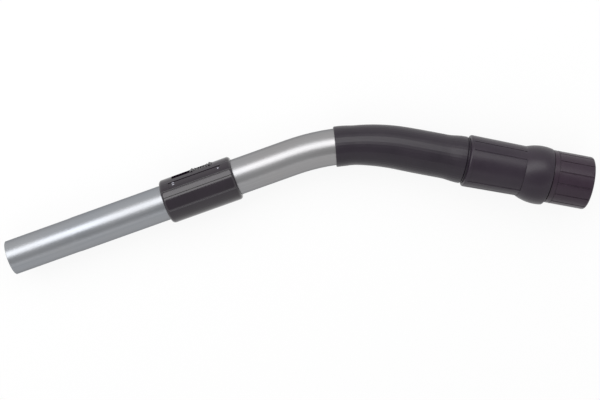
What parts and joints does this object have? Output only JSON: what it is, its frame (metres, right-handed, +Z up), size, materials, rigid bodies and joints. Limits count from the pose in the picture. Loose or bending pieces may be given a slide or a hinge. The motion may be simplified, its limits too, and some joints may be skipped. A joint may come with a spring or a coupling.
{
  "type": "vacuum wand handle",
  "caption": "Curved vacuum wand handle: aluminium tube with a sliding suction regulator, moulded grip over the bend and a swivelling hose cuff",
  "frame": {"origin": "centre of the tube's open mouth, on the axis of the straight tube", "axes": "+X along the straight tube towards the bend; the bend turns towards -Y; +Z up from the flat surface that the handle lies on"},
  "size_m": [0.513, 0.152, 0.0516],
  "materials": {
    "tube": "satin, drawn and anodised, fine lines along the tube",
    "collar": "black, moulded, glossy",
    "slider": "black, moulded, satin",
    "grip": "black, moulded, fine satin texture",
    "socket": "black, moulded, satin",
    "cuff": "black, moulded, satin",
    "ferrule": "black, moulded",
    "seal": "black soft rubber or foam"
  },
  "bodies": {
    "handle": {"bent_tube": "tube", "regulator_top_shell": "collar", "regulator_bottom_shell": "collar", "grip_sleeve": "grip", "socket_shell": "socket", "socket_seal": "seal", "swivel_collar": "socket", "swivel_seal": "seal"},
    "slider": {"thumb_slider": "slider", "slider_seal": "seal"},
    "cuff": {"swivel_cuff": "cuff", "hose_ferrule": "ferrule"}
  },
  "joints": [
    {"name": "regulator_slide", "type": "slide", "parent": "handle", "child": "slider", "axis": [-1, 0, 0], "range_m": [0, 0.016]},
    {"name": "cuff_swivel", "type": "hinge", "parent": "handle", "child": "cuff", "pos_m": [0.47028, -0.0934, 0.00639], "axis": [0.8572, -0.5138, 0.0352], "continuous": true}
  ]
}
